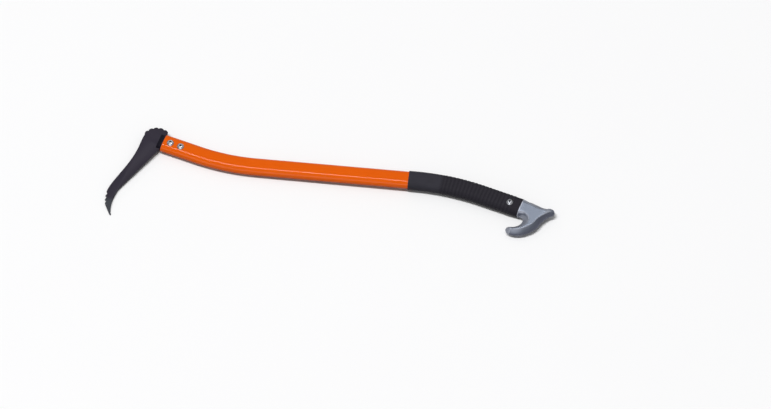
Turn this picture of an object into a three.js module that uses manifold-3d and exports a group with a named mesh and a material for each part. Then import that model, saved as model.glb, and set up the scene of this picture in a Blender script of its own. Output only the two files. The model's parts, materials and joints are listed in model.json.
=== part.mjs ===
// Pickaroon with an aluminium handle: a steel pick plate clamped between two plastic liners in the
// mouth of a flat oval tube, a rubber sleeve over the grip, and a cast pommel plugged into the tube.
// Millimetres, +Z up. The tool lies on its side, as it rests on a bench, with its length along X.
import * as THREE from 'three';
import { mergeVertices } from 'three/addons/utils/BufferGeometryUtils.js';
import Module from 'manifold-3d';

const wasm = await Module();
wasm.setup();

// Handle line: five stretches in one plane, from the mouth of the tube to the joint with the pommel
const headStraightLength = 68;
const headBendRadius = 410;
const headBendAngle = THREE.MathUtils.degToRad(15.9);
const middleStraightLength = 295.5;
const gripBendRadius = 464;
const gripBendAngle = THREE.MathUtils.degToRad(16.1);
const endStraightLength = 77;

// Flat oval tube
const tubeWidth = 36;
const tubeThickness = 18;
const tubeWall = 1.8;

// Clearance between pieces that touch
const fit = 0.3;

// Pick plate: its tang lies in the tube, its pick hangs to one side and its toothed crown to the other
const plateThickness = 5;
const plateEdgeBreak = 0.5;
const tangWidth = 24;
const tangLength = 50;
const pickReach = 183;
const pickForward = 57.4;
const crownRadius = 28.6;
const crownCentreForward = 14.2;
const crownCentreDrop = 0.6;
const crownToothDepth = 2.2;
const tipToothDepth = 3;
const grindLength = 36;
const grindEdge = 1.6;

// Liners: two halves round the tang, with a lip in front of the mouth
const linerLength = 54;
const linerLip = 9.5;
const linerLipEdge = 3.2;

// Screws with flanged button heads, and the low sleeve nuts that they run into
const screwRadius = 3;
const screwFlangeRadius = 6.6;
const screwFlangeHeight = 1.1;
const screwDomeRadius = 5.2;
const screwHeadHeight = 3.4;
const socketAcrossFlats = 4;
const socketDepth = 2.1;
const nutSleeveRadius = 4;
const nutFlangeRadius = 6.5;
const nutFlangeHeight = 1.5;
const nutSocketAcrossFlats = 5;
const nutSocketDepth = 0.8;
const nutFloor = 1.6;
const headScrewSetback = 13.6;
const headScrewSpacing = 20.6;
const pommelScrewSetback = 20.5;

// Grip sleeve
const sleeveWall = 0.8;
const sleeveLength = 217.5;
const ribPitch = 7;
const ribHeight = 0.45;
const ribLandWidth = 3.4;
const ribFlankWidth = 0.8;
const ribbedLength = 140;
const ribEndMargin = 12;
const screwWellClearance = 0.5;

// Cast pommel: beak on the line of the handle, hook for the little finger on the pick's side
const pommelLength = 65;
const pommelDrop = 61;
const pommelSideWidth = 11.5;
const pommelPartingLand = 0.8;
const neckLength = 27;
const spigotLength = 46;

// Facets of round forms
const ovalFacets = 5;
const bendSteps = 12;
const boreSteps = 18;
const holeFacets = 20;
const headFacets = 24;
const toothFacets = 7;
const edgeFacets = 20;
const tipFacets = 3;
const ridgeFacets = 4;
const pommelBands = 5;
const neckBands = 3;
const domeBands = 4;
const smoothBands = 8;
const hexagonSides = 6;

// Cuts run past what they cut by this much
const overrun = 1;

// Points closer together than this are one point
const weldDistance = 0.001;

// The resting plane settles within this many passes
const layPasses = 6;

const orangePaint = { color: 0xe26206, roughness: 0.32, metalness: 0.35 };
const darkSteel = { color: 0x37333e, roughness: 0.5, metalness: 0.6 };
const blackNylon = { color: 0x1e1c26, roughness: 0.6, metalness: 0 };
const blackRubber = { color: 0x2a2a2e, roughness: 0.8, metalness: 0 };
const castAluminium = { color: 0x9199a5, roughness: 0.4, metalness: 0.85 };
const brightSteel = { color: 0xd6d8de, roughness: 0.18, metalness: 1 };

// Solids: closed geometry in and out of the boolean library
function toSolid(geometry) {
  const bare = geometry.clone();
  bare.deleteAttribute('normal');
  bare.deleteAttribute('uv');
  const merged = mergeVertices(bare, weldDistance);
  const mesh = new wasm.Mesh({
    numProp: 3,
    vertProperties: new Float32Array(merged.getAttribute('position').array),
    triVerts: new Uint32Array(merged.getIndex().array),
  });
  return new wasm.Manifold(mesh);
}

function toGeometry(solid) {
  const mesh = solid.getMesh();
  const geometry = new THREE.BufferGeometry();
  geometry.setAttribute('position', new THREE.BufferAttribute(mesh.vertProperties, 3));
  geometry.setIndex(new THREE.BufferAttribute(mesh.triVerts, 1));
  geometry.computeVertexNormals();
  return geometry;
}

function piece(name, geometry, finish) {
  const mesh = new THREE.Mesh(geometry, new THREE.MeshStandardMaterial(finish));
  mesh.name = name;
  return mesh;
}

// Handle line
const handleStretches = [
  { length: headStraightLength, turn: 0 },
  { length: headBendRadius * headBendAngle, turn: headBendAngle },
  { length: middleStraightLength, turn: 0 },
  { length: gripBendRadius * gripBendAngle, turn: -gripBendAngle },
  { length: endStraightLength, turn: 0 },
];
const handleLength = handleStretches.reduce((sum, stretch) => sum + stretch.length, 0);

// Place and heading on the handle line, this far from the mouth
function placeOnHandle(distance) {
  const place = { x: 0, y: 0, heading: 0 };
  let left = distance;
  for (const stretch of handleStretches) {
    const run = Math.min(left, stretch.length);
    const turn = stretch.turn * run / stretch.length;
    const chord = turn === 0 ? run : run * Math.sin(turn / 2) / (turn / 2);
    place.x += chord * Math.cos(place.heading + turn / 2);
    place.y += chord * Math.sin(place.heading + turn / 2);
    place.heading += turn;
    left -= run;
  }
  return place;
}

// Flat oval outline, with full round ends: x runs through its thickness and y across its width
function addOval(outline, width, thickness) {
  const round = thickness / 2;
  const reach = width / 2 - round;
  outline.absarc(0, reach, round, 0, Math.PI);
  outline.absarc(0, -reach, round, Math.PI, 2 * Math.PI);
  return outline;
}

// The oval's outline square across the handle line at a distance, grown outwards all round
function ovalRing(distance, growth) {
  const outline = addOval(new THREE.Path(), tubeWidth + 2 * growth, tubeThickness + 2 * growth);
  const { x, y, heading } = placeOnHandle(distance);
  return outline.getPoints(ovalFacets).map((point) => new THREE.Vector3(
    x - point.y * Math.sin(heading),
    y + point.y * Math.cos(heading),
    point.x,
  ));
}

// Skin through rings of points, joined from the last ring back to the first unless it has ends
function loft(rings, hasEnds = false) {
  const points = rings.flat();
  const around = rings[0].length;
  const strips = hasEnds ? rings.length - 1 : rings.length;
  const index = [];
  for (let i = 0; i < strips; i++) {
    const next = (i + 1) % rings.length;
    for (let j = 0; j < around; j++) {
      const k = (j + 1) % around;
      const [a, b, c, d] = [i * around + j, i * around + k, next * around + k, next * around + j];
      index.push(a, c, b, a, d, c);
    }
  }
  const geometry = new THREE.BufferGeometry().setFromPoints(points);
  geometry.setIndex(index);
  return geometry;
}

// Straight bar of a section along X
function straightBar(section, from, to, steps) {
  const path = new THREE.LineCurve3(new THREE.Vector3(from, 0, 0), new THREE.Vector3(to, 0, 0));
  return new THREE.ExtrudeGeometry(section, { extrudePath: path, steps, curveSegments: ovalFacets });
}

// Upright round cutter between two heights
function roundCutter(x, y, radius, low, high) {
  const cutter = new THREE.CylinderGeometry(radius, radius, high - low, holeFacets);
  cutter.rotateX(Math.PI / 2);
  cutter.translate(x, y, (low + high) / 2);
  return toSolid(cutter);
}

// Box cutter across the handle line
function boxCutter([fromX, toX], halfWidth, [low, high]) {
  const cutter = new THREE.BoxGeometry(toX - fromX, 2 * halfWidth, high - low);
  cutter.translate((fromX + toX) / 2, 0, (low + high) / 2);
  return toSolid(cutter);
}

const headScrewDistances = [headScrewSetback, headScrewSetback + headScrewSpacing];
const screwDistances = [...headScrewDistances, handleLength - pommelScrewSetback];
const sleeveStart = handleLength - sleeveLength;
const screwHoleRadius = screwRadius + fit;
const nutHoleRadius = nutSleeveRadius + fit;
const tubeTop = tubeThickness / 2;
const boreWidth = tubeWidth - 2 * tubeWall;
const boreThickness = tubeThickness - 2 * tubeWall;

// Distances along the handle where its stretches meet and just before the sleeve, with even steps round
// each bend
function ringDistances() {
  const distances = [0, sleeveStart - fit];
  let start = 0;
  for (const stretch of handleStretches) {
    const steps = stretch.turn === 0 ? 1 : bendSteps;
    for (let i = 1; i <= steps; i++) {
      distances.push(start + stretch.length * i / steps);
    }
    start += stretch.length;
  }
  return distances.sort((a, b) => a - b);
}

// Handle tube, drilled for the screws on the upper face and for the sleeve nuts on the lower one
function handleTube() {
  const distances = ringDistances();
  const skin = distances.map((distance) => ovalRing(distance, 0));
  const bore = distances.reverse().map((distance) => ovalRing(distance, -tubeWall));
  let tube = toSolid(loft([...skin, ...bore]));
  for (const distance of screwDistances) {
    const { x, y } = placeOnHandle(distance);
    tube = tube.subtract(roundCutter(x, y, screwHoleRadius, 0, tubeTop + overrun));
    tube = tube.subtract(roundCutter(x, y, nutHoleRadius, -tubeTop - overrun, 0));
  }
  return piece('handle_tube', toGeometry(tube), orangePaint);
}

// Pick plate outlines: x as shares of how far it stands forward, y as shares of its reach
const backEdgeShares = [
  [-0.706, -0.06], [-0.697, -0.165], [-0.733, -0.294], [-0.801, -0.406], [-0.887, -0.52],
  [-0.968, -0.633], [-1, -0.7],
];
const tipTeethShares = [[-1.005, -0.752], [-0.98, -0.829], [-0.888, -0.886]];
const tipFlankShare = [-0.69, -0.957];
const tipShares = [[-0.592, -0.99], [-0.535, -1.004], [-0.545, -0.983]];
const innerEdgeShares = [
  [-0.585, -0.967], [-0.652, -0.906], [-0.703, -0.82], [-0.697, -0.706], [-0.652, -0.648],
  [-0.587, -0.588],
];
const innerCornerShare = [-0.06, -0.1];
const crownTeeth = 5;
const tipTeeth = 3;
const crownFrom = THREE.MathUtils.degToRad(60);
const crownTo = THREE.MathUtils.degToRad(168);
const tipToothValleyShare = 0.42;

function pickPoint([x, y]) {
  return new THREE.Vector2(x * pickForward, y * pickReach);
}

// Rounded teeth round the crown, with a sharp valley between each two
function crownPoints() {
  const points = [];
  const count = crownTeeth * toothFacets;
  for (let i = 0; i <= count; i++) {
    const angle = THREE.MathUtils.lerp(crownFrom, crownTo, i / count);
    const bulge = Math.sqrt(Math.abs(Math.sin(Math.PI * i / toothFacets)));
    const radius = crownRadius - crownToothDepth * (1 - bulge);
    const x = radius * Math.cos(angle) - crownCentreForward;
    points.push(new THREE.Vector2(x, radius * Math.sin(angle) - crownCentreDrop));
  }
  return points;
}

// Saw teeth on the outer edge beside the tip, leaning towards it
function tipTeethPoints() {
  const edge = new THREE.QuadraticBezierCurve(...tipTeethShares.map(pickPoint));
  const points = [edge.getPoint(0)];
  for (let i = 0; i < tipTeeth; i++) {
    const valleyShare = (i + tipToothValleyShare) / tipTeeth;
    const along = edge.getTangent(valleyShare);
    const inward = new THREE.Vector2(-along.y, along.x);
    points.push(edge.getPoint(valleyShare).addScaledVector(inward, tipToothDepth));
    points.push(edge.getPoint((i + 1) / tipTeeth));
  }
  return points;
}

function pickOutline() {
  const outline = new THREE.Shape();
  outline.moveTo(tangLength, -tangWidth / 2);
  outline.lineTo(tangLength, tangWidth / 2);
  outline.lineTo(-fit, tangWidth / 2);
  const crown = crownPoints();
  const teeth = tipTeethPoints();
  crown.forEach((point) => outline.lineTo(point.x, point.y));
  const back = new THREE.SplineCurve([crown.at(-1), ...backEdgeShares.map(pickPoint), teeth[0]]);
  back.getPoints(edgeFacets).slice(1).forEach((point) => outline.lineTo(point.x, point.y));
  teeth.slice(1).forEach((point) => outline.lineTo(point.x, point.y));
  const flank = pickPoint(tipFlankShare);
  outline.lineTo(flank.x, flank.y);
  const tip = new THREE.QuadraticBezierCurve(...tipShares.map(pickPoint));
  tip.getPoints(tipFacets).forEach((point) => outline.lineTo(point.x, point.y));
  const inner = new THREE.SplineCurve(innerEdgeShares.map(pickPoint));
  inner.getPoints(edgeFacets).forEach((point) => outline.lineTo(point.x, point.y));
  const corner = pickPoint(innerCornerShare);
  outline.lineTo(corner.x, corner.y);
  outline.lineTo(-fit, -tangWidth / 2);
  for (const distance of headScrewDistances) {
    outline.holes.push(new THREE.Path().absarc(distance, 0, nutHoleRadius, 0, 2 * Math.PI));
  }
  return outline;
}

// Wedge that grinds one face of the pick thinner towards its tip
function grindCutter(side) {
  const wedge = new THREE.Shape();
  const full = plateThickness / 2;
  const edge = grindEdge / 2;
  const slope = (full - edge) / grindLength;
  wedge.moveTo(-pickReach + grindLength, full);
  wedge.lineTo(-pickReach - overrun, edge - slope * overrun);
  wedge.lineTo(-pickReach - overrun, full + overrun);
  wedge.lineTo(-pickReach + grindLength, full + overrun);
  const depth = pickForward + overrun;
  const cutter = new THREE.ExtrudeGeometry(wedge, { depth: 2 * depth, bevelEnabled: false });
  cutter.translate(0, 0, -depth);
  cutter.rotateX(Math.PI / 2);
  cutter.rotateZ(Math.PI / 2);
  if (side < 0) {
    cutter.rotateY(Math.PI);
  }
  return toSolid(cutter);
}

function pickBlade() {
  const plate = new THREE.ExtrudeGeometry(pickOutline(), {
    depth: plateThickness - 2 * plateEdgeBreak,
    bevelThickness: plateEdgeBreak,
    bevelSize: plateEdgeBreak,
    bevelOffset: -plateEdgeBreak,
    bevelSegments: 1,
    curveSegments: holeFacets / 2,
  });
  plate.translate(0, 0, plateEdgeBreak - plateThickness / 2);
  const ground = toSolid(plate).subtract(grindCutter(1)).subtract(grindCutter(-1));
  return piece('pick_blade', toGeometry(ground), darkSteel);
}

// Half liner: fills its half of the bore round the tang, with a lip over the pick in front of the mouth
function liner(name, side) {
  const width = boreWidth - 2 * fit;
  const thickness = boreThickness - 2 * fit;
  const section = addOval(new THREE.Shape(), width, thickness);
  const seat = plateThickness / 2 + fit;
  const front = -linerLip - overrun;
  const otherHalf = boxCutter([front, linerLength + overrun], width, [-thickness, fit / 2]);
  const tangSlot = boxCutter([-overrun, tangLength + fit], tangWidth / 2 + fit, [-overrun, seat]);
  const underLip = boxCutter([front, 0], width, [-overrun, seat]);
  let half = toSolid(straightBar(section, -linerLip, linerLength, 1));
  half = half.subtract(otherHalf).subtract(tangSlot).subtract(underLip);
  half = half.subtract(lipCutter(width, thickness / 2));
  for (const distance of headScrewDistances) {
    half = half.subtract(roundCutter(distance, 0, nutHoleRadius, -overrun, thickness));
  }
  const geometry = toGeometry(half);
  if (side < 0) {
    geometry.rotateX(Math.PI);
  }
  return piece(name, geometry, blackNylon);
}

// Slope on the lip, from the full height at the mouth down to the lip's front edge
function lipCutter(width, top) {
  const wedge = new THREE.Shape();
  const low = plateThickness / 2 + fit + linerLipEdge;
  wedge.moveTo(-overrun, top);
  wedge.lineTo(-linerLip, low);
  wedge.lineTo(-linerLip - overrun, low);
  wedge.lineTo(-linerLip - overrun, top + overrun);
  wedge.lineTo(-overrun, top + overrun);
  const cutter = new THREE.ExtrudeGeometry(wedge, { depth: 2 * width, bevelEnabled: false });
  cutter.rotateX(Math.PI / 2);
  cutter.translate(0, width, 0);
  return toSolid(cutter);
}

// Screw: a flanged button head with a hexagon socket, standing on the tube's upper face
const screwLength = tubeThickness - nutFloor;

function turned(profile) {
  const points = profile.map(([radius, height]) => new THREE.Vector2(radius, height));
  const solid = new THREE.LatheGeometry(points, headFacets);
  solid.rotateX(Math.PI / 2);
  return solid;
}

function hexCutter(acrossFlats, low, high) {
  const radius = acrossFlats / (2 * Math.cos(Math.PI / hexagonSides));
  const hexagon = new THREE.CylinderGeometry(radius, radius, high - low, hexagonSides);
  hexagon.rotateX(Math.PI / 2);
  hexagon.translate(0, 0, (low + high) / 2);
  return toSolid(hexagon);
}

function screw(name) {
  const profile = [[0, -screwLength], [screwRadius, -screwLength], [screwRadius, 0]];
  profile.push([screwFlangeRadius, 0], [screwFlangeRadius, screwFlangeHeight / 2]);
  const domeRise = screwHeadHeight - screwFlangeHeight;
  for (let i = 0; i <= domeBands; i++) {
    const angle = Math.PI / 2 * i / domeBands;
    profile.push([screwDomeRadius * Math.cos(angle), screwFlangeHeight + domeRise * Math.sin(angle)]);
  }
  profile[profile.length - 1][0] = 0;
  const head = toSolid(turned(profile));
  const socketFloor = screwHeadHeight - socketDepth;
  const socket = hexCutter(socketAcrossFlats, socketFloor, screwHeadHeight + overrun);
  return piece(name, toGeometry(head.subtract(socket)), brightSteel);
}

// Sleeve nut: a low flange under the tube and a threaded sleeve reaching up inside it
function sleeveNut(name) {
  const reach = tubeThickness - tubeWall - fit;
  const profile = [[0, -nutFlangeHeight], [nutFlangeRadius, -nutFlangeHeight]];
  profile.push([nutFlangeRadius, 0], [nutSleeveRadius, 0], [nutSleeveRadius, reach]);
  profile.push([screwHoleRadius, reach], [screwHoleRadius, nutFloor - fit], [0, nutFloor - fit]);
  const body = toSolid(turned(profile));
  const socketFloor = nutSocketDepth - nutFlangeHeight;
  const socket = hexCutter(nutSocketAcrossFlats, -nutFlangeHeight - overrun, socketFloor);
  return piece(name, toGeometry(body.subtract(socket)), brightSteel);
}

// Grip sleeve: rings of points run out along the ribbed skin and back along the bore
const sleeveBoreGrowth = fit;
const sleeveSkinGrowth = fit + sleeveWall;
const sleeveEndRound = sleeveWall / 2;

function gripSleeve() {
  const rings = [];
  const skin = (distance, growth) => rings.push(ovalRing(distance, growth));
  const ribsTo = handleLength - ribEndMargin;
  const ribsFrom = ribsTo - ribbedLength;
  skin(sleeveStart, sleeveBoreGrowth + sleeveEndRound);
  skin(sleeveStart + sleeveEndRound, sleeveSkinGrowth);
  for (let i = 1; i < smoothBands; i++) {
    skin(THREE.MathUtils.lerp(sleeveStart, ribsFrom, i / smoothBands), sleeveSkinGrowth);
  }
  const ribs = Math.floor(ribbedLength / ribPitch);
  for (let i = 0; i < ribs; i++) {
    const start = ribsFrom + i * ribPitch;
    const crest = sleeveSkinGrowth + ribHeight;
    skin(start, sleeveSkinGrowth);
    skin(start + ribFlankWidth, crest);
    skin(start + ribFlankWidth + ribLandWidth, crest);
    skin(start + 2 * ribFlankWidth + ribLandWidth, sleeveSkinGrowth);
  }
  skin(ribsTo, sleeveSkinGrowth);
  skin(handleLength, sleeveSkinGrowth);
  for (let i = boreSteps; i >= 0; i--) {
    skin(THREE.MathUtils.lerp(sleeveStart, handleLength, i / boreSteps), sleeveBoreGrowth);
  }
  const { x, y } = placeOnHandle(handleLength - pommelScrewSetback);
  let sleeve = toSolid(loft(rings));
  const skinTop = tubeTop + sleeveSkinGrowth + ribHeight + overrun;
  sleeve = sleeve.subtract(roundCutter(x, y, screwFlangeRadius + screwWellClearance, 0, skinTop));
  sleeve = sleeve.subtract(roundCutter(x, y, nutFlangeRadius + screwWellClearance, -skinTop, 0));
  return piece('grip_sleeve', toGeometry(sleeve), blackRubber);
}

// Cast pommel: a slab with a beak and a hook, a neck that meets the sleeve and a spigot in the tube
const pommelThickness = tubeThickness + 2 * sleeveSkinGrowth;
const neckWidth = tubeWidth + 2 * sleeveSkinGrowth;

// Points of the ridge round each face: along the pommel's length, across its drop, and how far its side
// stands out there, as a share of the widest side
const upperRidgeShares = [
  [0.169, 0, 0.65], [0.177, 0.151, 0.74], [0.385, 0.128, 0.85], [0.615, 0.118, 0.77],
  [0.769, 0.144, 0.75],
];
const beakTipShares = [[0.855, 0.188, 0.75], [0.889, 0.178, 0.65], [0.846, 0.122, 0.52]];
const outerRidgeShares = [
  [0.717, -0.07, 0.59], [0.625, -0.226, 0.75], [0.569, -0.405, 0.83], [0.495, -0.534, 0.89],
  [0.388, -0.659, 0.91], [0.275, -0.757, 0.9], [0.123, -0.83, 0.85],
];
const hookTipShares = [[0.012, -0.862, 0.7], [-0.018, -0.854, 0.62], [-0.002, -0.836, 0.58]];
const innerRidgeShares = [
  [0.123, -0.797, 0.65], [0.262, -0.705, 0.78], [0.362, -0.59, 0.96], [0.406, -0.459, 0.98],
  [0.4, -0.352, 0.96], [0.351, -0.259, 0.91], [0.266, -0.197, 0.83], [0.177, -0.154, 0.78],
];
const ridgeShares = [
  ...upperRidgeShares, ...beakTipShares, ...outerRidgeShares, ...hookTipShares, ...innerRidgeShares,
];
const sideFullnessPower = 0.8;
const neckEndWidthShare = 0.74;
const neckEndThicknessShare = 0.97;

// The beak and the hook thin towards their tips, over this many points of the ridge each way
const thinnedTips = [
  { tip: ridgeShares.indexOf(beakTipShares[1]), reach: 3, thinShare: 0.3 },
  { tip: ridgeShares.indexOf(hookTipShares[1]), reach: 4, thinShare: 0.35 },
];

function pommelPoint([x, y]) {
  return new THREE.Vector2(x * pommelLength, y * pommelDrop);
}

// Ridge samples: place, direction outwards, width of the side and share of the full thickness
function ridgeSamples() {
  const points = ridgeShares.map(([x, y, side]) => {
    const { x: along, y: across } = pommelPoint([x, y]);
    return new THREE.Vector3(along, across, side * pommelSideWidth);
  });
  const ridge = new THREE.CatmullRomCurve3(points, true, 'centripetal');
  const count = points.length * ridgeFacets;
  return Array.from({ length: count }, (_, i) => {
    const { x, y, z: side } = ridge.getPoint(i / count);
    const along = ridge.getTangent(i / count);
    const out = new THREE.Vector2(-along.y, along.x).normalize();
    return { place: new THREE.Vector2(x, y), out, side, leftShare: thicknessLeft(i / ridgeFacets) };
  });
}

function thicknessLeft(ridgePoint) {
  return thinnedTips.reduce((left, { tip, reach, thinShare }) => {
    const near = 1 - Math.abs(ridgePoint - tip) / reach;
    return left - thinShare * THREE.MathUtils.smoothstep(near, 0, 1);
  }, 1);
}

// Slab with sides that fall away from the ridge round each face to the parting land
function pommelSlab() {
  const samples = ridgeSamples();
  const halfLand = pommelPartingLand / 2;
  const ring = (outShare, face) => samples.map(({ place, out, side, leftShare }) => {
    const point = place.clone().addScaledVector(out, outShare * side);
    const rise = leftShare * pommelThickness / 2 - halfLand;
    const height = halfLand + rise * (1 - outShare) ** sideFullnessPower;
    return new THREE.Vector3(point.x, point.y, face * height);
  });
  const upper = [];
  const lower = [];
  for (let i = 0; i <= pommelBands; i++) {
    upper.push(ring(i / pommelBands, 1));
    lower.push(ring(i / pommelBands, -1));
  }
  return cappedLoft([...lower, ...upper.reverse()], pommelFace(samples));
}

// Triangles of a face: rungs across each thinned tip, and one flat web between them
function pommelFace(samples) {
  const triangles = [];
  const inTip = new Set();
  for (const { tip, reach } of thinnedTips) {
    const middle = tip * ridgeFacets;
    for (let i = 0; i < reach * ridgeFacets; i++) {
      const [a, b, c, d] = [middle - i, middle - i - 1, middle + i + 1, middle + i];
      triangles.push([a, b, c]);
      if (a !== d) {
        triangles.push([a, c, d]);
      }
      inTip.add(a).add(d);
    }
  }
  const web = samples.map((_, i) => i).filter((i) => !inTip.has(i));
  const contour = web.map((i) => samples[i].place);
  for (const corners of THREE.ShapeUtils.triangulateShape(contour, [])) {
    triangles.push(corners.map((corner) => web[corner]));
  }
  return triangles;
}

// Skin up through rings of points, with the same face under the first ring and over the last
function cappedLoft(rings, face) {
  const lastStart = (rings.length - 1) * rings[0].length;
  const geometry = loft(rings, true);
  const index = Array.from(geometry.getIndex().array);
  for (const [a, b, c] of face) {
    index.push(c, b, a, lastStart + a, lastStart + b, lastStart + c);
  }
  geometry.setIndex(index);
  return geometry;
}

// The neck takes over the oval of the sleeve and draws in as it runs into the slab
function drawIn(geometry, length, widthShare, thicknessShare) {
  const position = geometry.getAttribute('position');
  for (let i = 0; i < position.count; i++) {
    const reached = position.getX(i) / length;
    position.setY(i, position.getY(i) * THREE.MathUtils.lerp(1, widthShare, reached));
    position.setZ(i, position.getZ(i) * THREE.MathUtils.lerp(1, thicknessShare, reached));
  }
}

function pommel() {
  const oval = addOval(new THREE.Shape(), neckWidth, pommelThickness);
  const neck = straightBar(oval, fit, neckLength, neckBands);
  drawIn(neck, neckLength, neckEndWidthShare, neckEndThicknessShare);
  const plug = addOval(new THREE.Shape(), boreWidth - 2 * fit, boreThickness - 2 * fit);
  const spigot = straightBar(plug, -spigotLength, neckLength / 2, 1);
  let cast = toSolid(pommelSlab()).add(toSolid(neck)).add(toSolid(spigot));
  const reach = pommelThickness;
  cast = cast.subtract(roundCutter(-pommelScrewSetback, 0, nutHoleRadius, -reach, reach));
  return piece('pommel', toGeometry(cast), castAluminium);
}

// Assembly: the head end sits at the mouth, and the pommel in a group at the end of the handle line
const tool = new THREE.Group();
const blade = pickBlade();
tool.add(handleTube(), blade, liner('upper_liner', 1), liner('lower_liner', -1), gripSleeve());

const pommelGroup = new THREE.Group();
const handleEnd = placeOnHandle(handleLength);
const castPommel = pommel();
pommelGroup.position.set(handleEnd.x, handleEnd.y, 0);
pommelGroup.rotation.z = handleEnd.heading;
pommelGroup.add(castPommel);
tool.add(pommelGroup);

const fastenerNames = ['head_front', 'head_rear', 'pommel'];
const nuts = [];
screwDistances.forEach((distance, i) => {
  const { x, y, heading } = placeOnHandle(distance);
  const topScrew = screw(`${fastenerNames[i]}_screw`);
  topScrew.position.set(x, y, tubeTop + fit);
  topScrew.rotation.z = heading;
  const nut = sleeveNut(`${fastenerNames[i]}_nut`);
  nut.position.set(x, y, -tubeTop - fit);
  nut.rotation.z = heading;
  nuts.push(nut);
  tool.add(topScrew, nut);
});

// The line from between the head screws to the pommel screw lies along X
const headPlace = placeOnHandle(headScrewSetback + headScrewSpacing / 2);
const gripPlace = placeOnHandle(handleLength - pommelScrewSetback);
tool.rotation.z = -Math.atan2(gripPlace.y - headPlace.y, gripPlace.x - headPlace.x);

// Lying on its side, the tool rests on a head nut, the tip of the pick and the pommel's hook
const lay = new THREE.Group();
lay.add(tool);
lay.updateMatrixWorld(true);

function lowestPoint(meshes, up) {
  const lowest = new THREE.Vector3();
  const point = new THREE.Vector3();
  let least = Infinity;
  for (const mesh of meshes) {
    const position = mesh.geometry.getAttribute('position');
    for (let i = 0; i < position.count; i++) {
      point.fromBufferAttribute(position, i).applyMatrix4(mesh.matrixWorld);
      if (point.dot(up) < least) {
        least = point.dot(up);
        lowest.copy(point);
      }
    }
  }
  return lowest;
}

const up = new THREE.Vector3(0, 0, 1);
const floor = new THREE.Plane();
for (let pass = 0; pass < layPasses; pass++) {
  const nutPoint = lowestPoint(nuts.slice(0, headScrewDistances.length), up);
  floor.setFromCoplanarPoints(nutPoint, lowestPoint([blade], up), lowestPoint([castPommel], up));
  up.copy(floor.normal).multiplyScalar(Math.sign(floor.normal.z));
}
lay.quaternion.setFromUnitVectors(up, new THREE.Vector3(0, 0, 1));
lay.updateMatrixWorld(true);

// The origin is under the middle of the tool's box, on the surface that it lies on
const box = new THREE.Box3().setFromObject(lay, true);
const middle = box.getCenter(new THREE.Vector3());
lay.position.set(-middle.x, -middle.y, -box.min.z);

const pickaroon = new THREE.Group();
pickaroon.add(lay);

export default pickaroon;
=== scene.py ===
import json
import math

import bmesh
import bpy
from mathutils import Matrix, Vector


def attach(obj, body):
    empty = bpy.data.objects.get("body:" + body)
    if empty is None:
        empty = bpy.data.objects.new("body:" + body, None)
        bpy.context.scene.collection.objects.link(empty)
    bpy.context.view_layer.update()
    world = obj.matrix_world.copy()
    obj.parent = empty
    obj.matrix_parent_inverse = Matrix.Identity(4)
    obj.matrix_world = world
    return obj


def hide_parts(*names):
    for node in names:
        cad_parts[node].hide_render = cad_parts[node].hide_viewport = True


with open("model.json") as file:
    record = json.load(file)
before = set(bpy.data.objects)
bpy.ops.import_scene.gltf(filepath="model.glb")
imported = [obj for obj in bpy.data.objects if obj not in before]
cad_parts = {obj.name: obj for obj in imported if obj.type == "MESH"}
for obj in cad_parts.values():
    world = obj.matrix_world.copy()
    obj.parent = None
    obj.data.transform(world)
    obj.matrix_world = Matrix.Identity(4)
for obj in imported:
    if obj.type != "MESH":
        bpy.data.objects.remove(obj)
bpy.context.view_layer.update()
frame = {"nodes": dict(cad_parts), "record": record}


# Handle tube. The real one is drawn aluminium of flat oval section, bent twice in one plane and
# powder coated in gloss orange. The head plugs into its mouth and the pommel into its other end.
mm = 0.001
head_straight_length = 68 * mm
head_bend_radius = 410 * mm
head_bend_angle = math.radians(15.9)
middle_straight_length = 295.5 * mm
grip_bend_radius = 464 * mm
grip_bend_angle = math.radians(16.1)
end_straight_length = 77 * mm
tube_width = 36 * mm
tube_thickness = 18 * mm
tube_wall = 1.8 * mm
tube_edge_round = 0.35 * mm
tube_end_angle = 50
tube_end_stretch = 1.35
tube_setback = 2 * mm
tube_path_step = 2 * mm
tube_ring_spacing = 3 * mm
oval_corner_steps = 18
oval_corner_share = 0.4999  # of the thickness: at a full half the corners would run together
head_screw_distances = (13.6 * mm, 34.2 * mm)
handle_stretches = (
    (head_straight_length, 0.0),
    (head_bend_radius * head_bend_angle, head_bend_angle),
    (middle_straight_length, 0.0),
    (grip_bend_radius * grip_bend_angle, -grip_bend_angle),
    (end_straight_length, 0.0),
)
handle_length = sum(length for length, turn in handle_stretches)
pommel_screw_distance = handle_length - 20.5 * mm


def place_on_handle(distance):
    """Point of the handle line at this distance from the mouth, and the heading there."""
    place = Vector((0, 0, 0))
    heading = 0.0
    for length, turn in handle_stretches:
        run = min(distance, length)
        turned = turn * run / length
        chord = run if turned == 0 else run * math.sin(turned / 2) / (turned / 2)
        middle = heading + turned / 2
        place += chord * Vector((math.cos(middle), math.sin(middle), 0))
        heading += turned
        distance -= run
    return place, heading


def lie_on_bench():
    """Matrix from the handle's own plane to the tool as it lies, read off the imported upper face."""
    face = next(m for m in frame["record"]["mounts"] if m["name"] == "handle_upper_face")
    straight_start = head_straight_length + head_bend_radius * head_bend_angle
    straight_middle, _ = place_on_handle(straight_start + middle_straight_length / 2)
    on_face = straight_middle + Vector((0, 0, tube_thickness / 2))
    head, _ = place_on_handle(sum(head_screw_distances) / 2)
    grip, _ = place_on_handle(pommel_screw_distance)
    turn = Matrix.Rotation(-math.atan2(grip.y - head.y, grip.x - head.x), 4, "Z")
    tilt = Vector((0, 0, 1)).rotation_difference(Vector(face["axis"])).to_matrix().to_4x4()
    return Matrix.Translation(face["pos_m"]) @ tilt @ turn @ Matrix.Translation(-on_face)


lie = lie_on_bench()


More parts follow.
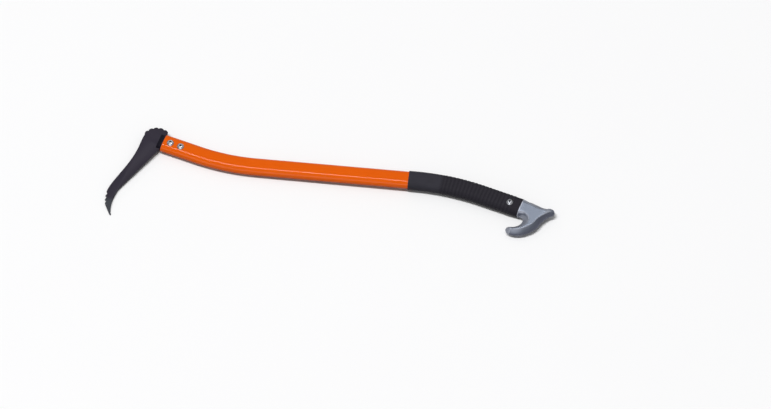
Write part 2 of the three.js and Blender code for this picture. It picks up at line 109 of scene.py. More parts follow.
def add_node(tree, kind, **settings):
    """Adds a node. A setting that is a socket is linked, and any other is a property or a value."""
    node = tree.nodes.new(kind)
    inputs = {}
    for key, value in settings.items():
        if hasattr(node, key):
            setattr(node, key, value)
        else:
            inputs[key] = value
    for key, value in inputs.items():
        socket = node.inputs[int(key[3:]) if key.startswith("in_") else key.replace("_", " ")]
        if isinstance(value, bpy.types.NodeSocket):
            tree.links.new(value, socket)
        else:
            socket.default_value = value
    return node


def reckon(tree, operation, *numbers, clamp=False):
    """Result of a Math node. Each number is a socket or a plain value."""
    inputs = {f"in_{i}": number for i, number in enumerate(numbers)}
    return add_node(
        tree, "ShaderNodeMath", operation=operation, use_clamp=clamp, **inputs
    ).outputs[0]


def named_tree(name, kind, inputs, outputs):
    """A node tree, its inputs to read and its outputs to link, from two tables of name and type."""
    tree = bpy.data.node_groups.new(name, kind)
    for direction, table in (("INPUT", inputs), ("OUTPUT", outputs)):
        for socket, socket_type in table.items():
            tree.interface.new_socket(
                socket, in_out=direction, socket_type=f"NodeSocket{socket_type}"
            )
    given = add_node(tree, "NodeGroupInput").outputs
    return tree, given, add_node(tree, "NodeGroupOutput").inputs


def store(tree, shape, name, value):
    """Keeps a number on the points of a shape, under a name that a material can read."""
    return add_node(
        tree, "GeometryNodeStoreNamedAttribute", data_type="FLOAT", domain="POINT",
        Geometry=shape, Name=name, Value=value,
    ).outputs[0]


def ringed_path(tree, given):
    """The path cut into even rings, each with its distance from the start of the path."""
    rings = add_node(
        tree, "GeometryNodeResampleCurve", mode="LENGTH",
        Curve=given["Path"], Length=given["Ring Spacing"],
    )
    run = add_node(tree, "GeometryNodeSplineParameter").outputs["Length"]
    return store(tree, rings.outputs[0], "run", run)


def oval_sweep(tree, path, given, stretch=1.0):
    """A flat oval drawn along the path, its round ends stretched to ellipses."""
    upright = add_node(tree, "GeometryNodeSetCurveNormal", mode="Z_UP", Curve=path)
    oblong = add_node(
        tree, "GeometryNodeCurvePrimitiveQuadrilateral",
        Width=reckon(tree, "DIVIDE", given["Width"], stretch), Height=given["Thickness"],
    )
    oval = add_node(
        tree, "GeometryNodeFilletCurve", mode="POLY", Curve=oblong.outputs[0],
        Count=oval_corner_steps,
        Radius=reckon(tree, "MULTIPLY", given["Thickness"], oval_corner_share),
    )
    widened = add_node(
        tree, "GeometryNodeTransform", Geometry=oval.outputs[0], Scale=(stretch, 1, 1)
    )
    return add_node(
        tree, "GeometryNodeCurveToMesh", Curve=upright.outputs[0], Profile_Curve=widened.outputs[0]
    ).outputs[0]


def hand_over(tree, shape, given, made):
    """Ends the tree of a swept piece: smooth shading, its finish, and a plain mesh."""
    smooth = add_node(tree, "GeometryNodeSetShadeSmooth", Geometry=shape)
    dressed = add_node(
        tree, "GeometryNodeSetMaterial", Geometry=smooth.outputs[0], Material=given["Finish"]
    )
    real = add_node(tree, "GeometryNodeRealizeInstances", Geometry=dressed.outputs[0])
    tree.links.new(real.outputs[0], made[0])
    return tree


def tube_tree():
    """Handle tube: the oval swept along the handle line, with the distance from the mouth kept."""
    sizes = {
        "Path": "Geometry", "Width": "Float", "Thickness": "Float", "Ring Spacing": "Float",
        "Finish": "Material",
    }
    tree, given, made = named_tree("swept_tube", "GeometryNodeTree", sizes, {"Tube": "Geometry"})
    tube = oval_sweep(tree, ringed_path(tree, given), given, tube_end_stretch)
    return hand_over(tree, tube, given, made)


def placed_object(name, data):
    """New object at the origin, in the scene."""
    thing = bpy.data.objects.new(name, data)
    bpy.context.collection.objects.link(thing)
    return thing


def handle_path(name, start, end, step):
    """Curve object along the handle line between two distances from the mouth."""
    curve = bpy.data.curves.new(name, "CURVE")
    curve.dimensions = "3D"
    count = max(2, math.ceil((end - start) / step) + 1)
    spline = curve.splines.new("POLY")
    spline.points.add(count - 1)
    for i, point in enumerate(spline.points):
        place, _ = place_on_handle(start + (end - start) * i / (count - 1))
        point.co = (*place, 1)
    return placed_object(name, curve)


def grow(source, tree, values):
    """Puts a geometry tree on an object and sets its inputs by their sockets' identifiers."""
    modifier = source.modifiers.new("grown", "NODES")
    modifier.node_group = tree
    for item in tree.interface.items_tree:
        if item.in_out == "INPUT" and item.name in values:
            modifier[item.identifier] = values[item.name]


def finished(source, name, place=lie):
    """Turns an object with its modifiers into one plain mesh piece, laid in place, and drops the
    source."""
    bpy.context.view_layer.update()
    graph = bpy.context.evaluated_depsgraph_get()
    mesh = bpy.data.meshes.new_from_object(source.evaluated_get(graph), depsgraph=graph)
    mesh.name = name
    mesh.transform(place)
    bpy.data.objects.remove(source)
    return placed_object(name, mesh)


def add_wall(source, wall):
    """Gives a swept skin its wall, inwards."""
    shell = source.modifiers.new("wall", "SOLIDIFY")
    shell.thickness = wall
    shell.offset = -1


def round_edges(source, radius, sharper_than):
    """Rounds the edges that turn by more than so many degrees."""
    edges = source.modifiers.new("round", "BEVEL")
    edges.width = radius
    edges.segments = 2
    edges.limit_method = "ANGLE"
    edges.angle_limit = math.radians(sharper_than)


def round_ends(source, radius):
    """Rounds the cut ends, and keeps the flats' own normals right up to the round sides."""
    round_edges(source, radius, tube_end_angle)
    source.modifiers.new("shade", "WEIGHTED_NORMAL")


def srgb(red, green, blue):
    """Linear colour of a screen colour given in 8-bit steps."""
    shares = (channel / 255 for channel in (red, green, blue))
    return (*(c / 12.92 if c <= 0.04045 else ((c + 0.055) / 1.055) ** 2.4 for c in shares), 1)


def new_finish(name, metallic, roughness, specular):
    """A material with a Principled shader, whose plain values sit on its own sockets."""
    material = bpy.data.materials.new(name)
    material.use_nodes = True
    tree = material.node_tree
    shader = tree.nodes["Principled BSDF"]
    shader.inputs["Metallic"].default_value = metallic
    shader.inputs["Roughness"].default_value = roughness
    shader.inputs["Specular IOR Level"].default_value = specular
    place = add_node(tree, "ShaderNodeTexCoord").outputs["Object"]
    return material, tree, shader, place


def ramp(tree, value, start, end, **more):
    """Share from zero to one, as a value runs from start to end."""
    return add_node(
        tree, "ShaderNodeMapRange", Value=value, From_Min=start, From_Max=end, **more
    ).outputs[0]


def mapped(tree, share, low, high):
    """Number between two limits, by a share."""
    return add_node(tree, "ShaderNodeMapRange", Value=share, To_Min=low, To_Max=high).outputs[0]


def noise(tree, place, scale, detail):
    """Plain noise on a place, at a scale given by a socket."""
    return add_node(
        tree, "ShaderNodeTexNoise", Vector=place, Scale=scale, Detail=detail
    ).outputs[0]


def grain_group():
    """Two layers of noise: a broad mottle and a fine grain, each from zero to one."""
    sizes = {"Place": "Vector", "Broad Scale": "Float", "Fine Scale": "Float", "Contrast": "Float"}
    layers = {"Mottle": "Float", "Grain": "Float"}
    tree, given, made = named_tree("grain", "ShaderNodeTree", sizes, layers)
    for scale, detail, layer in (("Broad Scale", 4.0, 0), ("Fine Scale", 2.0, 1)):
        around_zero = reckon(
            tree, "SUBTRACT", noise(tree, given["Place"], given[scale], detail), 0.5
        )
        spread = reckon(
            tree, "MULTIPLY_ADD", around_zero, given["Contrast"], 0.5, clamp=True
        )
        tree.links.new(spread, made[layer])
    return tree


def edge_wear_and_highlight_group():
    """Mask of the outer edges, broken up by noise, from the turn of the normal within a radius."""
    sizes = {"Place": "Vector", "Reach": "Float", "Break Scale": "Float", "Amount": "Float"}
    tree, given, made = named_tree("edge_wear_and_highlight", "ShaderNodeTree", sizes, {"Wear_And_Highlight": "Float"})
    rounded = add_node(tree, "ShaderNodeBevel", samples=6, Radius=given["Reach"]).outputs[0]
    true_normal = add_node(tree, "ShaderNodeNewGeometry").outputs["Normal"]
    agreement = add_node(
        tree, "ShaderNodeVectorMath", operation="DOT_PRODUCT", in_0=rounded, in_1=true_normal
    ).outputs["Value"]
    turned = ramp(tree, agreement, 0.995, 0.9)
    broken = ramp(tree, noise(tree, given["Place"], given["Break Scale"], 4.0), 0.4, 0.62)
    both = reckon(tree, "MULTIPLY", turned, broken)
    tree.links.new(reckon(tree, "MULTIPLY", both, given["Amount"], clamp=True), made[0])
    return tree


grain = grain_group()
edge_wear_and_highlight = edge_wear_and_highlight_group()


def add_grain(tree, place, broad, fine, contrast):
    """The two grain layers at their own scales: mottle first, then grain."""
    layers = add_node(
        tree, "ShaderNodeGroup", node_tree=grain,
        Place=place, Broad_Scale=broad, Fine_Scale=fine, Contrast=contrast,
    ).outputs
    return layers["Mottle"], layers["Grain"]


def add_wear_and_highlight(tree, place, reach, scale, amount):
    """The edge mask, for wear and for a painted highlight, within a reach of the edges and broken up
    at a scale.
    """
    return add_node(
        tree, "ShaderNodeGroup", node_tree=edge_wear_and_highlight,
        Place=place, Reach=reach, Break_Scale=scale, Amount=amount,
    ).outputs["Wear_And_Highlight"]


def kept_number(tree, name):
    """A number that the mesh keeps on its points."""
    return add_node(tree, "ShaderNodeAttribute", attribute_name=name).outputs["Fac"]


def mixed_colour(tree, share, low, high):
    """Colour between two colours or sockets, by a share."""
    return add_node(
        tree, "ShaderNodeMix", data_type="RGBA", in_0=share, in_6=low, in_7=high
    ).outputs[2]


def set_surface(tree, shader, colour, roughness):
    """Links a finish's colour and roughness."""
    tree.links.new(colour, shader.inputs["Base Color"])
    tree.links.new(roughness, shader.inputs["Roughness"])


def bumped(tree, shader, height, strength, distance):
    """Raises a finish's grain by a bump."""
    bump = add_node(
        tree, "ShaderNodeBump", Strength=strength, Distance=distance, Height=height
    )
    tree.links.new(bump.outputs[0], shader.inputs["Normal"])


def orange_coat():
    """Gloss powder coat with faint orange peel, rubbed to bare metal on the rim of the mouth."""
    material, tree, shader, place = new_finish(
        "orange_coat", metallic=0.0, roughness=0.1, specular=0.2
    )
    mottle, peel = add_grain(tree, place, broad=14.0, fine=900.0, contrast=1.4)
    coat = mixed_colour(tree, mottle, srgb(223, 90, 0), srgb(227, 94, 2))
    at_mouth = ramp(tree, kept_number(tree, "run"), 0.9 * mm, 0.3 * mm)
    wear_and_highlight = add_wear_and_highlight(tree, place, reach=0.6 * mm, scale=260.0, amount=0.8)
    rim = reckon(tree, "MULTIPLY", at_mouth, wear_and_highlight)
    colour = mixed_colour(tree, rim, coat, srgb(214, 206, 200))
    set_surface(tree, shader, colour, mapped(tree, peel, 0.06, 0.1))
    tree.links.new(rim, shader.inputs["Metallic"])
    bumped(tree, shader, peel, strength=0.05, distance=0.03 * mm)
    return material


tube_source = handle_path("handle_line", 0, handle_length - tube_setback, tube_path_step)
grow(tube_source, tube_tree(), {
    "Width": tube_width, "Thickness": tube_thickness, "Ring Spacing": tube_ring_spacing,
    "Finish": orange_coat(),
})
add_wall(tube_source, tube_wall)
round_ends(tube_source, tube_edge_round)
handle = finished(tube_source, "coated_handle")
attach(handle, "root")
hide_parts("handle_tube")


# Pick plate. One laser cut plate of 5 mm steel, hardened and blackened, with its tip ground thinner
# on both faces. Its tang lies between the liners, and two screws run through it.
pick_reach = 183 * mm
grind_length = 36 * mm
plate_edge_angle = 20
joining_distance = 0.01 * mm


def merged_copy(node, name, sharp_angle):
    """Copy of a CAD node with its triangles joined, smooth except over its real edges."""
    mesh = frame["nodes"][node].data.copy()
    mesh.name = name
    mesh.materials.clear()
    joined = bmesh.new()
    joined.from_mesh(mesh)
    bmesh.ops.remove_doubles(joined, verts=joined.verts, dist=joining_distance)
    joined.to_mesh(mesh)
    joined.free()
    mesh.shade_smooth()
    mesh.set_sharp_from_angle(angle=math.radians(sharp_angle))
    return placed_object(name, mesh)


def keep_number(piece, name, number_at):
    """Keeps a number on each point of a piece, for its finish to read."""
    numbers = piece.data.attributes.new(name, "FLOAT", "POINT")
    for vertex in piece.data.vertices:
        numbers.data[vertex.index].value = number_at(vertex)


def blackened_steel():
    """Black oxide with a faint mill mottle, brighter on the ground tip and on rubbed edges."""
    material, tree, shader, place = new_finish(
        "blackened_steel", metallic=0.0, roughness=0.45, specular=0.12
    )
    mottle, fine = add_grain(tree, place, broad=35.0, fine=700.0, contrast=1.6)
    black = mixed_colour(tree, mottle, srgb(45, 41, 52), srgb(52, 48, 59))
    ground = ramp(tree, kept_number(tree, "from_tip"), grind_length, grind_length * 0.8)
    grinding = mixed_colour(tree, fine, srgb(54, 56, 62), srgb(66, 69, 75))
    faced = mixed_colour(tree, ground, black, grinding)
    wear_and_highlight = add_wear_and_highlight(tree, place, reach=0.8 * mm, scale=180.0, amount=0.5)
    colour = mixed_colour(tree, wear_and_highlight, faced, srgb(120, 122, 128))
    set_surface(tree, shader, colour, mapped(tree, mottle, 0.42, 0.55))
    bumped(tree, shader, fine, strength=0.15, distance=0.08 * mm)
    return material


plate = merged_copy("pick_blade", "pick_plate", plate_edge_angle)
to_handle_plane = lie.inverted()
keep_number(plate, "from_tip", lambda vertex: (to_handle_plane @ vertex.co).y + pick_reach)
plate.data.materials.append(blackened_steel())
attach(plate, "root")
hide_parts("pick_blade")


# Liners. Two moulded nylon halves that pack the tube's bore round the tang, with a sloping lip that
# shows in front of the mouth. The head screws clamp them.
liner_edge_angle = 35


def moulded_nylon():
    """Matt black moulding with a fine spark-eroded grain."""
    material, tree, shader, place = new_finish(
        "moulded_nylon", metallic=0.0, roughness=0.6, specular=0.1
    )
    mottle, fine = add_grain(tree, place, broad=60.0, fine=1500.0, contrast=1.5)
    black = mixed_colour(tree, mottle, srgb(21, 19, 28), srgb(27, 25, 35))
    set_surface(tree, shader, black, mapped(tree, fine, 0.5, 0.7))
    bumped(tree, shader, fine, strength=0.25, distance=0.1 * mm)
    return material


nylon = moulded_nylon()
for node in ("upper_liner", "lower_liner"):
    half_liner = merged_copy(node, f"moulded_{node}", liner_edge_angle)
    half_liner.data.materials.append(nylon)
    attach(half_liner, "root")
    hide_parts(node)


# Grip sleeve. A rubber sleeve pulled over the end of the tube, smooth in front and moulded with low
# cross ribs behind. The pommel butts against it, and the pommel screw stands in a well through it.
sleeve_gap = 0.3 * mm
sleeve_wall = 0.8 * mm
sleeve_length = 217.5 * mm
sleeve_path_step = 1 * mm
sleeve_ring_spacing = 0.4 * mm
rib_pitch = 7 * mm
rib_height = 0.45 * mm
rib_land_width = 3.4 * mm
rib_flank_width = 0.8 * mm
ribbed_length = 140 * mm
rib_end_margin = 12 * mm
screw_well_radius = 6.7 * mm
screw_well_facets = 48
ribs_end = sleeve_length - rib_end_margin
ribs_start = ribs_end - ribbed_length


def sleeve_tree():
    """Grip sleeve: the oval swept in close rings, lifted into ribs between two distances."""
    sizes = {"Path": "Geometry"}
    for size in ("Width", "Thickness", "Ring Spacing", "Ribs Start", "Ribs End", "Rib Pitch"):
        sizes[size] = "Float"
    sizes.update({
        "Rib Land": "Float", "Rib Flank": "Float", "Rib Height": "Float", "Finish": "Material",
    })
    tree, given, made = named_tree(
        "ribbed_sleeve", "GeometryNodeTree", sizes, {"Sleeve": "Geometry"}
    )
    swept = oval_sweep(tree, ringed_path(tree, given), given)
    run = add_node(
        tree, "GeometryNodeInputNamedAttribute", data_type="FLOAT", Name="run"
    ).outputs[0]
    past_start = reckon(tree, "SUBTRACT", run, given["Ribs Start"])
    in_pitch = reckon(tree, "FLOORED_MODULO", past_start, given["Rib Pitch"])
    land_and_flank = reckon(tree, "ADD", given["Rib Land"], given["Rib Flank"])
    half_rib = reckon(tree, "MULTIPLY", land_and_flank, 0.5)
    foot = reckon(tree, "ADD", half_rib, given["Rib Flank"])
    aside = reckon(tree, "ABSOLUTE", reckon(tree, "SUBTRACT", in_pitch, foot))
    half_land = reckon(tree, "MULTIPLY", given["Rib Land"], 0.5)
    lift = ramp(tree, aside, foot, half_land, interpolation_type="SMOOTHSTEP")
    before_end = reckon(tree, "LESS_THAN", run, given["Ribs End"])
    after_start = reckon(tree, "GREATER_THAN", past_start, 0.0)
    crest = reckon(tree, "MULTIPLY", reckon(tree, "MULTIPLY", lift, before_end), after_start)
    normal = add_node(tree, "GeometryNodeInputNormal").outputs[0]
    offset = add_node(
        tree, "ShaderNodeVectorMath", operation="SCALE", in_0=normal,
        Scale=reckon(tree, "MULTIPLY", crest, given["Rib Height"]),
    ).outputs[0]
    marked = store(tree, swept, "crest", crest)
    lifted = add_node(tree, "GeometryNodeSetPosition", Geometry=marked, Offset=offset)
    return hand_over(tree, lifted.outputs[0], given, made)


def grip_rubber():
    """Black rubber with a fine moulded grain, and the crests of the ribs a little paler as a painted
    highlight.
    """
    material, tree, shader, place = new_finish(
        "grip_rubber", metallic=0.0, roughness=0.6, specular=0.14
    )
    mottle, fine = add_grain(tree, place, broad=40.0, fine=1200.0, contrast=1.5)
    smooth_part = mixed_colour(tree, mottle, srgb(44, 43, 50), srgb(50, 49, 57))
    crest = kept_number(tree, "crest")
    # Painted highlight: the crests of the ribs a little paler.
    ribbed_part = mixed_colour(tree, crest, srgb(35, 33, 40), srgb(38, 36, 43))
    among_ribs = ramp(tree, kept_number(tree, "run"), ribs_start - rib_pitch, ribs_start)
    colour = mixed_colour(tree, among_ribs, smooth_part, ribbed_part)
    polish = reckon(tree, "MULTIPLY", crest, -0.05)
    set_surface(tree, shader, colour, reckon(tree, "ADD", mapped(tree, fine, 0.52, 0.72), polish))
    bumped(tree, shader, fine, strength=0.2, distance=0.1 * mm)
    return material


def cut_prism(source, name, sides, radius, low, high, place=(0, 0)):
    """Cuts an upright prism between two heights out of an object, and gives back the cutter."""
    mesh = bpy.data.meshes.new(name)
    prism = bmesh.new()
    bmesh.ops.create_cone(
        prism, cap_ends=True, segments=sides, radius1=radius, radius2=radius, depth=high - low,
        matrix=Matrix.Translation((*place, (low + high) / 2)),
    )
    prism.to_mesh(mesh)
    prism.free()
    cut = source.modifiers.new(name, "BOOLEAN")
    cut.operation = "DIFFERENCE"
    cut.object = placed_object(name, mesh)
    return cut.object


sleeve_growth = 2 * (sleeve_gap + sleeve_wall)
sleeve_source = handle_path(
    "sleeve_line", handle_length - sleeve_length, handle_length, sleeve_path_step
)
grow(sleeve_source, sleeve_tree(), {
    "Width": tube_width + sleeve_growth, "Thickness": tube_thickness + sleeve_growth,
    "Ring Spacing": sleeve_ring_spacing, "Ribs Start": ribs_start, "Ribs End": ribs_end,
    "Rib Pitch": rib_pitch, "Rib Land": rib_land_width, "Rib Flank": rib_flank_width,
    "Rib Height": rib_height, "Finish": grip_rubber(),
})
sleeve_shell = finished(sleeve_source, "sleeve_shell", Matrix.Identity(4))
add_wall(sleeve_shell, sleeve_wall)
well_place, _ = place_on_handle(pommel_screw_distance)
well_cutter = cut_prism(
    sleeve_shell, "well", screw_well_facets, screw_well_radius, -tube_width, tube_width,
    well_place.xy,
)
round_ends(sleeve_shell, sleeve_wall / 3)
sleeve = finished(sleeve_shell, "ribbed_grip")
bpy.data.objects.remove(well_cutter)
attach(sleeve, "root")
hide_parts("grip_sleeve")


# Pommel. An aluminium casting, tumbled and left bare: a beak on the line of the handle, a hook for
# the little finger, and a spigot inside the tube that the pommel screw holds.
casting_grain = 0.7 * mm
casting_smooth_passes = 5
web_smooth_passes = 40
web_centre = Vector((13 * mm, -28 * mm))
web_radius = 12 * mm
web_fade = 9 * mm
web_facing = 0.86  # the least that the web's middle counts as turned up, so that it gets no painted shade
never_sharp = 180


def cast_aluminium():
    """Tumbled casting, grey, with painted shade on its steep sides and a painted highlight on the
    ridges between them and at the joint."""
    material, tree, shader, place = new_finish(
        "cast_aluminium", metallic=0.6, roughness=0.42, specular=0.5
    )
    mottle, fine = add_grain(tree, place, broad=45.0, fine=900.0, contrast=1.5)
    facing = kept_number(tree, "facing")
    # Painted shade: the steep sides get a darker grey than the faces, by how far the normal turns up.
    dark = mixed_colour(tree, mottle, srgb(98, 101, 116), srgb(108, 111, 126))
    grey = mixed_colour(tree, mottle, srgb(110, 118, 131), srgb(123, 130, 145))
    grey_with_painted_shade = mixed_colour(tree, ramp(tree, facing, 0.68, 0.84), dark, grey)
    # Painted highlight along the ridges where the steep sides meet the faces, broadened by the edge
    # mask below.
    past_side = ramp(tree, facing, 0.76, 0.88)
    before_face = ramp(tree, facing, 0.995, 0.95)
    ridge = reckon(tree, "MULTIPLY", past_side, before_face)
    wear_and_highlight = add_wear_and_highlight(tree, place, reach=2.2 * mm, scale=90.0, amount=1.8)
    # The painted highlight: ridge line and edge mask together.
    rubbed = reckon(tree, "MULTIPLY_ADD", ridge, 0.9, wear_and_highlight, clamp=True)
    # Painted highlight on the neck's rim at the joint with the sleeve.
    joint = ramp(tree, kept_number(tree, "from_joint"), 3 * mm, 2.4 * mm)
    bright = reckon(tree, "MAXIMUM", rubbed, joint)
    # The ridge and joint highlights are painted in this paler grey.
    colour = mixed_colour(tree, bright, grey_with_painted_shade, srgb(160, 164, 176))
    set_surface(tree, shader, colour, mapped(tree, mottle, 0.36, 0.5))
    bumped(tree, shader, fine, strength=0.2, distance=0.1 * mm)
    return material


handle_end, end_heading = place_on_handle(handle_length)
pommel_place = lie @ Matrix.Translation(handle_end) @ Matrix.Rotation(end_heading, 4, "Z")
to_pommel = pommel_place.inverted()
pommel_up = pommel_place.to_3x3() @ Vector((0, 0, 1))


def web_share(point):
    """How far a point lies in the soft web round the finger gap, from one at its middle to zero."""
    away = (to_pommel @ point).xy - web_centre
    return min(1.0, max(0.0, (web_radius + web_fade - away.length) / web_fade))


casting = merged_copy("pommel", "casting", never_sharp)
remesh = casting.modifiers.new("casting", "REMESH")
remesh.mode = "VOXEL"
remesh.voxel_size = casting_grain
remesh.use_smooth_shade = True
rough_casting = finished(casting, "rough_casting", Matrix.Identity(4))
web = rough_casting.vertex_groups.new(name="web")
for vertex in rough_casting.data.vertices:
    web.add([vertex.index], web_share(vertex.co), "REPLACE")
for group, passes in (("", casting_smooth_passes), ("web", web_smooth_passes)):
    soften = rough_casting.modifiers.new("soften", "SMOOTH")
    soften.factor = 0.5
    soften.iterations = passes
    soften.vertex_group = group
pommel = finished(rough_casting, "cast_pommel", Matrix.Identity(4))
# How far each point's normal turns up, with the web counted as turned up; the finish paints shade
# where it is low.
keep_number(
    pommel, "facing",
    lambda vertex: max(abs(vertex.normal.dot(pommel_up)), web_facing * web_share(vertex.co)),
)
# Distance from the joint, for the painted highlight there.
keep_number(pommel, "from_joint", lambda vertex: (to_pommel @ vertex.co).x)
pommel.data.materials.clear()
pommel.data.materials.append(cast_aluminium())
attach(pommel, "root")
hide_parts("pommel")


# Screws and sleeve nuts. Two pairs clamp the head and one holds the pommel: flanged button heads
# with a hexagon socket on the upper face, and low flanged nuts on the lower one, all bright plated.
screw_radius = 3 * mm
screw_flange_radius = 6.6 * mm
screw_flange_height = 1.1 * mm
screw_dome_radius = 5.2 * mm
screw_dome_steps = 8
screw_painted_shade_from = screw_dome_radius + 0.3 * mm
screw_head_height = 3.4 * mm
socket_across_flats = 4 * mm
socket_depth = 2.1 * mm
screw_length = 16.4 * mm
nut_sleeve_radius = 4 * mm
nut_flange_radius = 6.5 * mm
nut_flange_height = 1.5 * mm
nut_painted_shade_from = nut_flange_radius - 0.4 * mm
nut_socket_across_flats = 5 * mm
nut_socket_depth = 0.8 * mm
nut_bore_radius = screw_radius + sleeve_gap
nut_bore_floor = 1.3 * mm
nut_reach = 15.9 * mm
seat_height = tube_thickness / 2 + sleeve_gap
fastener_edge_round = 0.15 * mm
fastener_bevel_angle = 40
fastener_edge_angle = 35
turning_facets = 48
cutter_overshoot = 1 * mm
painted_shade_share = 0.7


def plated_steel():
    """Bright plating with faint turning marks, and painted shade in the sockets and round the
    flanges.
    """
    material, tree, shader, place = new_finish(
        "plated_steel", metallic=1.0, roughness=0.18, specular=0.5
    )
    mottle, fine = add_grain(tree, place, broad=200.0, fine=1800.0, contrast=1.2)
    bright = mixed_colour(tree, mottle, srgb(224, 226, 233), srgb(238, 240, 246))
    # Painted shade: dark in the sockets and round the flanges.
    colour = mixed_colour(tree, kept_number(tree, "painted_shade"), bright, srgb(46, 46, 52))
    set_surface(tree, shader, colour, mapped(tree, mottle, 0.2, 0.32))
    bumped(tree, shader, fine, strength=0.05, distance=0.03 * mm)
    return material


def turned_blank(name, profile):
    """Object turned from a profile of radius and height that starts and ends on the axis. Its rings
    start half a facet round, so that no facet's edge meets a corner of the hexagon."""
    points = []
    rings = []
    for radius, height in profile:
        first = len(points)
        if radius == 0:
            points.append((0, 0, height))
            rings.append([first] * turning_facets)
            continue
        for facet in range(turning_facets):
            angle = 2 * math.pi * (facet + 0.5) / turning_facets
            points.append((radius * math.cos(angle), radius * math.sin(angle), height))
        rings.append(list(range(first, len(points))))
    faces = []
    for this, following in zip(rings, rings[1:]):
        for facet in range(turning_facets):
            after = (facet + 1) % turning_facets
            corners = (this[facet], this[after], following[after], following[facet])
            faces.append(tuple(dict.fromkeys(corners)))
    mesh = bpy.data.meshes.new(name)
    mesh.from_pydata(points, [], faces)
    return placed_object(name, mesh)


def turned_part(name, profile, across_flats, low, high, painted_shade_from):
    """Master fastener: a turned profile with a hexagon socket cut between two heights, with painted
    shade in the socket and outside a radius."""
    blank = turned_blank(name, profile)
    corner_radius = across_flats / math.sqrt(3)
    cutter = cut_prism(blank, "hexagon", 6, corner_radius, low, high)
    round_edges(blank, fastener_edge_round, fastener_bevel_angle)
    part = finished(blank, name, Matrix.Identity(4))
    bpy.data.objects.remove(cutter)
    part.data.shade_smooth()
    part.data.set_sharp_from_angle(angle=math.radians(fastener_edge_angle))

    def painted_shade(vertex):
        """Share of painted shade at a point."""
        from_axis = vertex.co.xy.length
        in_socket = from_axis < corner_radius + 0.05 * mm and low - 0.1 * mm < vertex.co.z
        return 1.0 if in_socket else painted_shade_share * (from_axis > painted_shade_from)

    keep_number(part, "painted_shade", painted_shade)
    return part


def fastener_tree():
    """Sets a master fastener on each point, turned by the heading kept there."""
    sizes = {"Places": "Geometry", "Fastener": "Object", "Finish": "Material"}
    tree, given, made = named_tree(
        "set_fasteners", "GeometryNodeTree", sizes, {"Fasteners": "Geometry"}
    )
    master = add_node(tree, "GeometryNodeObjectInfo", Object=given["Fastener"])
    heading = add_node(
        tree, "GeometryNodeInputNamedAttribute", data_type="FLOAT", Name="heading"
    ).outputs[0]
    turned = add_node(tree, "ShaderNodeCombineXYZ", Z=heading)
    points = add_node(tree, "GeometryNodeMeshToPoints", Mesh=given["Places"])
    placed = add_node(
        tree, "GeometryNodeInstanceOnPoints", Points=points.outputs[0],
        Instance=master.outputs["Geometry"], Rotation=turned.outputs[0],
    )
    real = add_node(tree, "GeometryNodeRealizeInstances", Geometry=placed.outputs[0])
    dressed = add_node(
        tree, "GeometryNodeSetMaterial", Geometry=real.outputs[0], Material=given["Finish"]
    )
    tree.links.new(dressed.outputs[0], made[0])
    return tree


def set_fasteners(name, master, height, tree, finish):
    """One mesh of the three like fasteners, seated at a height above the handle's middle plane."""
    distances = (*head_screw_distances, pommel_screw_distance)
    places = [place_on_handle(distance) for distance in distances]
    mesh = bpy.data.meshes.new(name)
    mesh.from_pydata([place + Vector((0, 0, height)) for place, _ in places], [], [])
    headings = mesh.attributes.new("heading", "FLOAT", "POINT")
    for i, (_, heading) in enumerate(places):
        headings.data[i].value = heading
    source = placed_object(name, mesh)
    grow(source, tree, {"Fastener": master, "Finish": finish})
    piece = finished(source, name)
    bpy.data.objects.remove(master)
    return piece


dome_rise = screw_head_height - screw_flange_height
screw_profile = [
    (0, -screw_length), (screw_radius, -screw_length), (screw_radius, 0),
    (screw_flange_radius, 0), (screw_flange_radius, screw_flange_height / 2),
]
for step in range(screw_dome_steps):
    angle = math.pi / 2 * step / screw_dome_steps
    screw_profile.append((
        screw_dome_radius * math.cos(angle), screw_flange_height + dome_rise * math.sin(angle)
    ))
screw_profile.append((0, screw_head_height))
nut_profile = [
    (0, -nut_flange_height), (nut_flange_radius, -nut_flange_height), (nut_flange_radius, 0),
    (nut_sleeve_radius, 0), (nut_sleeve_radius, nut_reach), (nut_bore_radius, nut_reach),
    (nut_bore_radius, nut_bore_floor), (0, nut_bore_floor),
]
plating = plated_steel()
fastener_nodes = fastener_tree()
screw_master = turned_part(
    "screw", screw_profile, socket_across_flats, screw_head_height - socket_depth,
    screw_head_height + cutter_overshoot, screw_painted_shade_from,
)
nut_master = turned_part(
    "nut", nut_profile, nut_socket_across_flats, -nut_flange_height - cutter_overshoot,
    nut_socket_depth - nut_flange_height, nut_painted_shade_from,
)
screws = set_fasteners("button_screws", screw_master, seat_height, fastener_nodes, plating)
nuts = set_fasteners("sleeve_nuts", nut_master, -seat_height, fastener_nodes, plating)
for piece, kind in ((screws, "screw"), (nuts, "nut")):
    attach(piece, "root")
    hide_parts(f"head_front_{kind}", f"head_rear_{kind}", f"pommel_{kind}")


# Bench and light. A pale seamless floor under one long soft box, with a strip and a card that show
# only in gloss, and a long lens that looks down on the tool from the photograph's angle.
floor_half_width = 6.0
floor_bounce = 0.3
room_light = 0.3
photo_width = 771
photo_height = 409
metres_per_pixel = 0.00186
origin_pixel = Vector((330.14, 207.13))
view_azimuth = math.radians(11.94)
view_elevation = math.radians(55)
camera_distance = 30.0
camera_reach = 100.0
sensor_width = 36.0
view_turn = Matrix.Rotation(view_azimuth, 3, "Z")
lamps = (  # name, long and short side, watts, degrees left and front, distance, unseen by
    ("key", 15.0, 1.8, 4600, 12, 6, 24, "glossy"),
    ("strip", 4.0, 0.9, 140, 0, -16, 6, "diffuse"),
    ("card", 5.0, 3.0, 72, 12, 40, 6, "diffuse"),
)


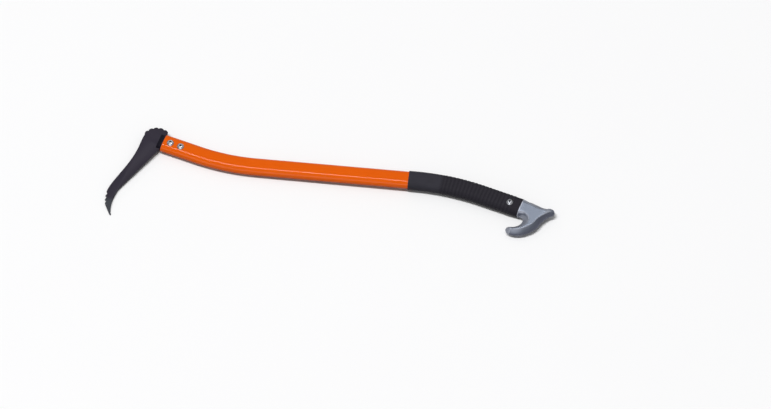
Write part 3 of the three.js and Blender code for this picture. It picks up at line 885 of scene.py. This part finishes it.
def pale_floor():
    """Matt sheet that looks white, also in gloss and metal, and throws less light back at the
    tool."""
    material, tree, shader, place = new_finish(
        "pale_floor", metallic=0.0, roughness=0.9, specular=0.0
    )
    mottle, _ = add_grain(tree, place, broad=3.0, fine=300.0, contrast=1.0)
    white = mixed_colour(tree, mottle, (0.93, 0.93, 0.935, 1), (0.94, 0.94, 0.945, 1))
    ray = add_node(tree, "ShaderNodeLightPath").outputs
    seen = reckon(tree, "MAXIMUM", ray["Is Camera Ray"], ray["Is Glossy Ray"])
    shown = reckon(tree, "MAXIMUM", seen, ray["Is Transmission Ray"])
    grey = (floor_bounce, floor_bounce, floor_bounce, 1)
    tree.links.new(mixed_colour(tree, shown, grey, white), shader.inputs["Base Color"])
    return material


def hang_lamp(name, long_side, short_side, power, left, front, distance, unseen_by):
    """Hangs a lamp overhead that faces the tool, with its long side across the camera's view. It
    leans so many degrees to the camera's left and towards it."""
    light = bpy.data.lights.new(name, "AREA")
    light.shape = "RECTANGLE"
    light.size = long_side
    light.size_y = short_side
    light.energy = power
    leaning = Vector((-math.tan(math.radians(left)), -math.tan(math.radians(front)), 1))
    direction = (view_turn @ leaning).normalized()
    depth = direction.cross(view_turn @ Vector((1, 0, 0))).normalized()
    axes = Matrix((depth.cross(direction), depth, direction)).transposed()
    lamp = placed_object(name, light)
    lamp.matrix_world = Matrix.Translation(direction * distance) @ axes.to_4x4()
    lamp.visible_camera = False
    setattr(lamp, f"visible_{unseen_by}", False)


floor_mesh = bpy.data.meshes.new("floor")
floor_corners = [
    (x * floor_half_width, y * floor_half_width, 0) for x, y in ((-1, -1), (1, -1), (1, 1), (-1, 1))
]
floor_mesh.from_pydata(floor_corners, [], [(0, 1, 2, 3)])
floor_mesh.materials.append(pale_floor())
floor = placed_object("floor", floor_mesh)

world = bpy.data.worlds.new("white_room")
bpy.context.scene.world = world
world.use_nodes = True
air = world.node_tree.nodes["Background"].inputs
air["Color"].default_value = (1, 1, 1, 1)
air["Strength"].default_value = room_light

for lamp in lamps:
    hang_lamp(*lamp)

back = view_turn @ Vector((0, -math.cos(view_elevation), math.sin(view_elevation)))
right = view_turn @ Vector((1, 0, 0))
upward = back.cross(right)
aside = (photo_width / 2 - origin_pixel.x) * metres_per_pixel
above = (origin_pixel.y - photo_height / 2) * metres_per_pixel
lens = bpy.data.cameras.new("long_lens")
lens.sensor_width = sensor_width
lens.lens = sensor_width * camera_distance / (photo_width * metres_per_pixel)
lens.clip_end = camera_reach
camera = placed_object("long_lens", lens)
camera.location = right * aside + upward * above + back * camera_distance
camera.rotation_euler = back.to_track_quat("Z", "Y").to_euler()
bpy.context.scene.camera = camera
bpy.context.scene.view_settings.view_transform = "Standard"
